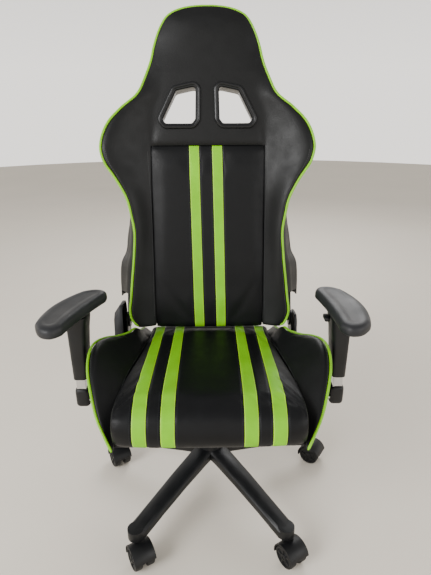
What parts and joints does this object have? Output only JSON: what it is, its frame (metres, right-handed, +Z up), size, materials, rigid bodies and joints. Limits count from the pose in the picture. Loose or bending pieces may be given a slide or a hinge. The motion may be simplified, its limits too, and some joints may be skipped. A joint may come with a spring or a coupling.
{
  "type": "gaming chair",
  "caption": "Bucket-seat gaming chair with high reclining backrest, height-adjustable armrests with turning pads, tilt mechanism, gas lift and star base on twin-wheel casters.",
  "frame": {"origin": "on the floor under the gas lift, at the middle of the footprint", "axes": "+Z up, the chair faces -Y, +X is the sitter's left"},
  "size_m": [0.7487, 0.687, 1.3],
  "materials": {
    "black_leather": "black polyurethane leather, fine grain, soft sheen",
    "rear_leather": "black polyurethane leather on the rear cover, matte",
    "green_leather": "lime green polyurethane leather stripes and piping",
    "black_nylon": "satin black glass-filled nylon",
    "grey_plastic": "moulded dark grey plastic",
    "grey_pad": "dark grey skinned polyurethane foam",
    "black_steel": "black powder-coated steel",
    "bright_steel": "ground bright steel",
    "chrome_column": "chromed steel tube",
    "plywood": "unfinished birch plywood"
  },
  "bodies": {
    "base": {"star_base": "black_nylon", "lift_cylinder": "black_steel"},
    "lift_piston": {"lift_rod": "bright_steel"},
    "mechanism": {"lift_column": "bright_steel", "dust_cover": "black_nylon", "mechanism_housing": "black_steel", "tilt_pin": "bright_steel"},
    "tension_knob": {"tension_knob": "black_nylon"},
    "lift_lever": {"lift_lever": "black_steel"},
    "seat": {"tilt_plate": "black_steel", "seat_board": "plywood", "seat_cushion": "black_leather", "recline_shaft": "bright_steel", "seat_bolster_left": "black_leather", "seat_bolster_right": "black_leather", "arm_bracket_left": "chrome_column", "arm_bracket_right": "chrome_column", "arm_boot_left": "black_nylon", "arm_boot_right": "black_nylon", "recliner_plate_left": "black_steel", "recliner_plate_right": "black_steel", "hinge_cover_left": "grey_plastic", "hinge_cover_right": "grey_plastic"},
    "recline_lever": {"recline_lever": "grey_plastic"},
    "backrest": {"back_frame": "black_steel", "back_pad": "black_leather", "back_bolster_left": "black_leather", "back_bolster_right": "black_leather", "head_pad": "black_leather", "back_cover": "rear_leather", "strap_bezel_left": "grey_plastic", "strap_bezel_right": "grey_plastic"},
    "caster_front_left": {"caster_front_left_stem": "bright_steel", "caster_front_left_hood": "black_nylon"},
    "caster_front_left_wheel_left": {"caster_front_left_wheel_left": "black_nylon"},
    "caster_front_left_wheel_right": {"caster_front_left_wheel_right": "black_nylon"},
    "caster_front_right": {"caster_front_right_stem": "bright_steel", "caster_front_right_hood": "black_nylon"},
    "caster_front_right_wheel_left": {"caster_front_right_wheel_left": "black_nylon"},
    "caster_front_right_wheel_right": {"caster_front_right_wheel_right": "black_nylon"},
    "caster_side_right": {"caster_side_right_stem": "bright_steel", "caster_side_right_hood": "black_nylon"},
    "caster_side_right_wheel_left": {"caster_side_right_wheel_left": "black_nylon"},
    "caster_side_right_wheel_right": {"caster_side_right_wheel_right": "black_nylon"},
    "caster_rear": {"caster_rear_stem": "bright_steel", "caster_rear_hood": "black_nylon"},
    "caster_rear_wheel_left": {"caster_rear_wheel_left": "black_nylon"},
    "caster_rear_wheel_right": {"caster_rear_wheel_right": "black_nylon"},
    "caster_side_left": {"caster_side_left_stem": "bright_steel", "caster_side_left_hood": "black_nylon"},
    "caster_side_left_wheel_left": {"caster_side_left_wheel_left": "black_nylon"},
    "caster_side_left_wheel_right": {"caster_side_left_wheel_right": "black_nylon"},
    "arm_left": {"arm_sleeve_left": "black_nylon"},
    "arm_lever_left": {"arm_lever_left": "grey_plastic"},
    "arm_rest_left": {"arm_pad_left": "grey_pad", "arm_pad_plate_left": "black_nylon"},
    "arm_right": {"arm_sleeve_right": "black_nylon"},
    "arm_lever_right": {"arm_lever_right": "grey_plastic"},
    "arm_rest_right": {"arm_pad_right": "grey_pad", "arm_pad_plate_right": "black_nylon"}
  },
  "joints": [
    {"name": "caster_front_left_swivel", "type": "hinge", "parent": "base", "child": "caster_front_left", "pos_m": [-0.18809, -0.25888, 0.08], "axis": [0, 0, 1], "continuous": true},
    {"name": "caster_front_left_wheel_left_spin", "type": "hinge", "parent": "caster_front_left", "child": "caster_front_left_wheel_left", "pos_m": [-0.17609, -0.27967, 0.03], "axis": [0.866, 0.5, 0], "continuous": true},
    {"name": "caster_front_left_wheel_right_spin", "type": "hinge", "parent": "caster_front_left", "child": "caster_front_left_wheel_right", "pos_m": [-0.17609, -0.27967, 0.03], "axis": [0.866, 0.5, 0], "continuous": true},
    {"name": "caster_front_right_swivel", "type": "hinge", "parent": "base", "child": "caster_front_right", "pos_m": [0.18809, -0.25888, 0.08], "axis": [0, 0, 1], "continuous": true},
    {"name": "caster_front_right_wheel_left_spin", "type": "hinge", "parent": "caster_front_right", "child": "caster_front_right_wheel_left", "pos_m": [0.20081, -0.27924, 0.03], "axis": [0.848, 0.5299, 0], "continuous": true},
    {"name": "caster_front_right_wheel_right_spin", "type": "hinge", "parent": "caster_front_right", "child": "caster_front_right_wheel_right", "pos_m": [0.20081, -0.27924, 0.03], "axis": [0.848, 0.5299, 0], "continuous": true},
    {"name": "caster_side_right_swivel", "type": "hinge", "parent": "base", "child": "caster_side_right", "pos_m": [0.30434, 0.09889, 0.08], "axis": [0, 0, 1], "continuous": true},
    {"name": "caster_side_right_wheel_left_spin", "type": "hinge", "parent": "caster_side_right", "child": "caster_side_right_wheel_left", "pos_m": [0.324, 0.08512, 0.03], "axis": [0.5736, 0.8192, 0], "continuous": true},
    {"name": "caster_side_right_wheel_right_spin", "type": "hinge", "parent": "caster_side_right", "child": "caster_side_right_wheel_right", "pos_m": [0.324, 0.08512, 0.03], "axis": [0.5736, 0.8192, 0], "continuous": true},
    {"name": "caster_rear_swivel", "type": "hinge", "parent": "base", "child": "caster_rear", "pos_m": [0, 0.32, 0.08], "axis": [0, 0, 1], "continuous": true},
    {"name": "caster_rear_wheel_left_spin", "type": "hinge", "parent": "caster_rear", "child": "caster_rear_wheel_left", "pos_m": [0.00621, 0.29682, 0.03], "axis": [0.9659, 0.2588, 0], "continuous": true},
    {"name": "caster_rear_wheel_right_spin", "type": "hinge", "parent": "caster_rear", "child": "caster_rear_wheel_right", "pos_m": [0.00621, 0.29682, 0.03], "axis": [0.9659, 0.2588, 0], "continuous": true},
    {"name": "caster_side_left_swivel", "type": "hinge", "parent": "base", "child": "caster_side_left", "pos_m": [-0.30434, 0.09889, 0.08], "axis": [0, 0, 1], "continuous": true},
    {"name": "caster_side_left_wheel_left_spin", "type": "hinge", "parent": "caster_side_left", "child": "caster_side_left_wheel_left", "pos_m": [-0.29234, 0.0781, 0.03], "axis": [0.866, 0.5, 0], "continuous": true},
    {"name": "caster_side_left_wheel_right_spin", "type": "hinge", "parent": "caster_side_left", "child": "caster_side_left_wheel_right", "pos_m": [-0.29234, 0.0781, 0.03], "axis": [0.866, 0.5, 0], "continuous": true},
    {"name": "chair_swivel", "type": "hinge", "parent": "base", "child": "lift_piston", "pos_m": [0, 0, 0.105], "axis": [0, 0, 1], "continuous": true},
    {"name": "seat_height", "type": "slide", "parent": "lift_piston", "child": "mechanism", "axis": [0, 0, 1], "range_m": [-0.04, 0.06]},
    {"name": "tension_knob_turn", "type": "hinge", "parent": "mechanism", "child": "tension_knob", "pos_m": [0, -0.086, 0.3], "axis": [0, 0, 1], "continuous": true},
    {"name": "lift_lever_pull", "type": "hinge", "parent": "mechanism", "child": "lift_lever", "pos_m": [-0.04, 0, 0.3575], "axis": [0, 1, 0], "range_deg": [0, 8], "stiffness_Nm_per_rad": 1.5, "springref_deg": -20.05},
    {"name": "seat_tilt", "type": "hinge", "parent": "mechanism", "child": "seat", "pos_m": [0, -0.07, 0.372], "axis": [-1, 0, 0], "range_deg": [0, 12], "stiffness_Nm_per_rad": 160, "springref_deg": -17.19},
    {"name": "recline_lever_pull", "type": "hinge", "parent": "seat", "child": "recline_lever", "pos_m": [-0.2735, 0.085, 0.438], "axis": [-1, 0, 0], "range_deg": [0, 25], "stiffness_Nm_per_rad": 2, "springref_deg": -17.19},
    {"name": "backrest_recline", "type": "hinge", "parent": "seat", "child": "backrest", "pos_m": [0, 0.1042, 0.4993], "axis": [-1, 0, 0], "range_deg": [-5, 55]},
    {"name": "arm_height_left", "type": "slide", "parent": "seat", "child": "arm_left", "axis": [0, 0, 1], "range_m": [-0.02, 0.045]},
    {"name": "arm_lever_left_pull", "type": "hinge", "parent": "arm_left", "child": "arm_lever_left", "pos_m": [-0.3345, -0.1, 0.6], "axis": [0, 1, 0], "range_deg": [0, 12], "stiffness_Nm_per_rad": 0.5, "springref_deg": -17.19},
    {"name": "arm_rest_left_turn", "type": "hinge", "parent": "arm_left", "child": "arm_rest_left", "pos_m": [-0.3145, -0.1, 0.615], "axis": [0, 0, 1], "range_deg": [-7, 38]},
    {"name": "arm_height_right", "type": "slide", "parent": "seat", "child": "arm_right", "axis": [0, 0, 1], "range_m": [-0.02, 0.045]},
    {"name": "arm_lever_right_pull", "type": "hinge", "parent": "arm_right", "child": "arm_lever_right", "pos_m": [0.295, -0.1, 0.6], "axis": [0, 1, 0], "range_deg": [0, 12], "stiffness_Nm_per_rad": 0.5, "springref_deg": -17.19},
    {"name": "arm_rest_right_turn", "type": "hinge", "parent": "arm_right", "child": "arm_rest_right", "pos_m": [0.3145, -0.1, 0.615], "axis": [0, 0, 1], "range_deg": [-25, 20]}
  ]
}
